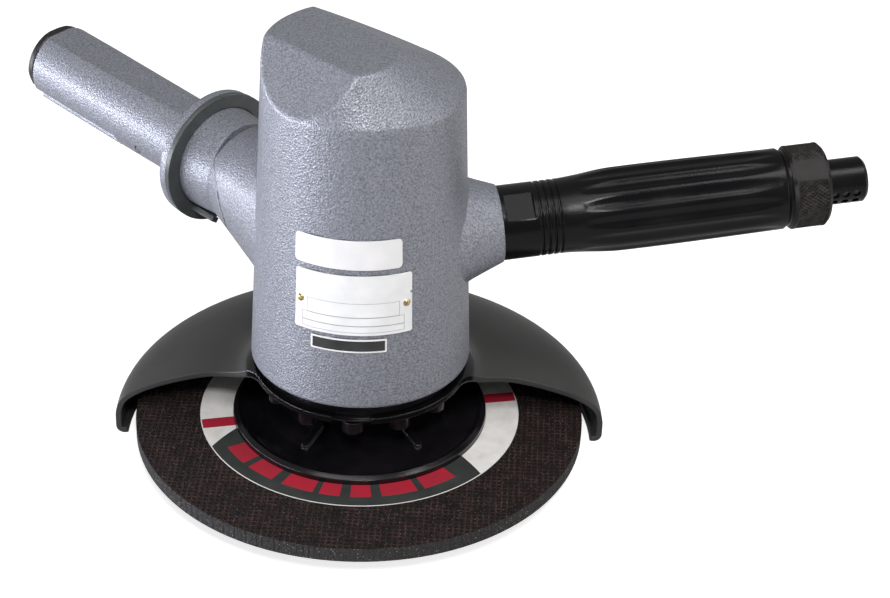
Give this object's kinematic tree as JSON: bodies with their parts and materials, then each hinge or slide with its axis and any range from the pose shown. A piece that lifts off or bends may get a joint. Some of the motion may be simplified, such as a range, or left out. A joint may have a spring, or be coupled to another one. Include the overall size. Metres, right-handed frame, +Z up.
{
  "type": "vertical grinder",
  "caption": "Upright air-driven grinder with a depressed centre wheel, half hood guard, lever throttle handle and fluted exhaust handle.",
  "frame": {"origin": "centre of the spindle's lower end face, 0.8 mm above the wheel's working face", "axes": "+Z up the spindle, -Y to the front with the rating plate, +X roughly towards the exhaust handle"},
  "size_m": [0.3464, 0.2264, 0.1758],
  "materials": {
    "hammer_paint": "blue-grey hammer finish paint on cast aluminium",
    "guard_black": "satin black",
    "gloss_black": "gloss black",
    "handle_black": "gloss black anodised",
    "ring_dark": "dark satin",
    "abrasive": "resin bonded abrasive grain under woven mesh",
    "dark_screw": "blackened",
    "bright_steel": "ground",
    "bearing_steel": "polished",
    "spring_steel": "drawn wire",
    "grey_iron": "honed",
    "vane_composite": "laminate",
    "bronze": "turned",
    "seal_rubber": "smooth",
    "plate_white": "white enamel",
    "label_white": "white film",
    "label_black": "black film",
    "mesh_steel": "woven wire",
    "felt": "felt"
  },
  "bodies": {
    "housing": {"motor_housing": "hammer_paint", "bearing_cap": "gloss_black", "cap_screws": "dark_screw", "shaft_seal": "seal_rubber", "lower_end_plate": "grey_iron", "cylinder_liner": "grey_iron", "upper_end_plate": "grey_iron", "lower_bearing_outer_race": "bearing_steel", "upper_bearing_outer_race": "bearing_steel", "governor_bush": "bronze", "governor_spring": "spring_steel", "throttle_handle": "hammer_paint", "hand_guard_ring": "ring_dark", "lever_pin": "bright_steel", "valve_seat": "bronze", "valve_guide": "bronze", "throttle_spring": "spring_steel", "inlet_bush": "ring_dark", "inlet_strainer": "mesh_steel", "exhaust_handle": "handle_black", "lock_ring": "ring_dark", "exhaust_tube": "handle_black", "silencer": "felt", "nameplate": "plate_white", "nameplate_rivets": "bronze", "upper_label": "label_white", "lower_label": "label_black"},
    "spinning_shaft": {"spindle": "bright_steel", "rotor": "bright_steel", "rotor_key": "bright_steel", "rotor_vanes": "vane_composite", "lower_bearing_inner_race": "bearing_steel", "upper_bearing_inner_race": "bearing_steel", "wheel_flange": "gloss_black", "grinding_wheel": "abrasive", "wheel_nut": "bright_steel", "governor_cage": "bright_steel", "governor_pins": "bright_steel"},
    "guard": {"wheel_guard": "guard_black"},
    "lower_ball_row": {"lower_bearing_cage": "bronze", "lower_bearing_balls": "bearing_steel"},
    "upper_ball_row": {"upper_bearing_cage": "bronze", "upper_bearing_balls": "bearing_steel"},
    "lever": {"throttle_lever": "hammer_paint"},
    "throttle_valve": {"valve_stem": "bright_steel"},
    "right_weight": {"governor_weight_right": "bright_steel"},
    "left_weight": {"governor_weight_left": "bright_steel"},
    "speed_valve": {"governor_valve": "bright_steel"}
  },
  "joints": [
    {"name": "spindle_spin", "type": "hinge", "parent": "housing", "child": "spinning_shaft", "pos_m": [0, 0, 0.05], "axis": [0, 0, 1], "continuous": true},
    {"name": "lower_balls_roll", "type": "hinge", "parent": "housing", "child": "lower_ball_row", "pos_m": [0, 0, 0.044], "axis": [0, 0, 1], "continuous": true},
    {"name": "upper_balls_roll", "type": "hinge", "parent": "housing", "child": "upper_ball_row", "pos_m": [0, 0, 0.1205], "axis": [0, 0, 1], "continuous": true},
    {"name": "guard_turn", "type": "hinge", "parent": "housing", "child": "guard", "pos_m": [0, 0, 0.031], "axis": [0, 0, 1], "continuous": true},
    {"name": "lever_press", "type": "hinge", "parent": "housing", "child": "lever", "pos_m": [-0.0893, 0.07609, 0.07844], "axis": [0.6348, 0.7281, -0.2586], "range_deg": [0, 2], "stiffness_Nm_per_rad": 10, "springref_deg": -1.72},
    {"name": "throttle_valve_slide", "type": "slide", "parent": "housing", "child": "throttle_valve", "axis": [0.2011, 0.1675, 0.9651], "range_m": [0, 0.00095], "deforming": ["throttle_spring"]},
    {"name": "right_weight_swing", "type": "hinge", "parent": "spinning_shaft", "child": "right_weight", "pos_m": [0.0095, 0, 0.1338], "axis": [0, 1, 0], "range_deg": [0, 18]},
    {"name": "left_weight_swing", "type": "hinge", "parent": "spinning_shaft", "child": "left_weight", "pos_m": [-0.0095, 0, 0.1338], "axis": [0, -1, 0], "range_deg": [0, 18]},
    {"name": "speed_valve_slide", "type": "slide", "parent": "housing", "child": "speed_valve", "axis": [0, 0, 1], "range_m": [0, 0.00165], "stiffness_N_per_m": 500, "springref_m": -0.002, "deforming": ["governor_spring"]}
  ],
  "couplings": [
    {"joint": "lower_balls_roll", "follows": "spindle_spin", "ratio": 0.38},
    {"joint": "upper_balls_roll", "follows": "spindle_spin", "ratio": 0.383},
    {"joint": "throttle_valve_slide", "follows": "lever_press", "m_per_rad": 0.027},
    {"joint": "right_weight_swing", "follows": "speed_valve_slide", "rad_per_m": 169.49},
    {"joint": "left_weight_swing", "follows": "speed_valve_slide", "rad_per_m": 169.49}
  ]
}
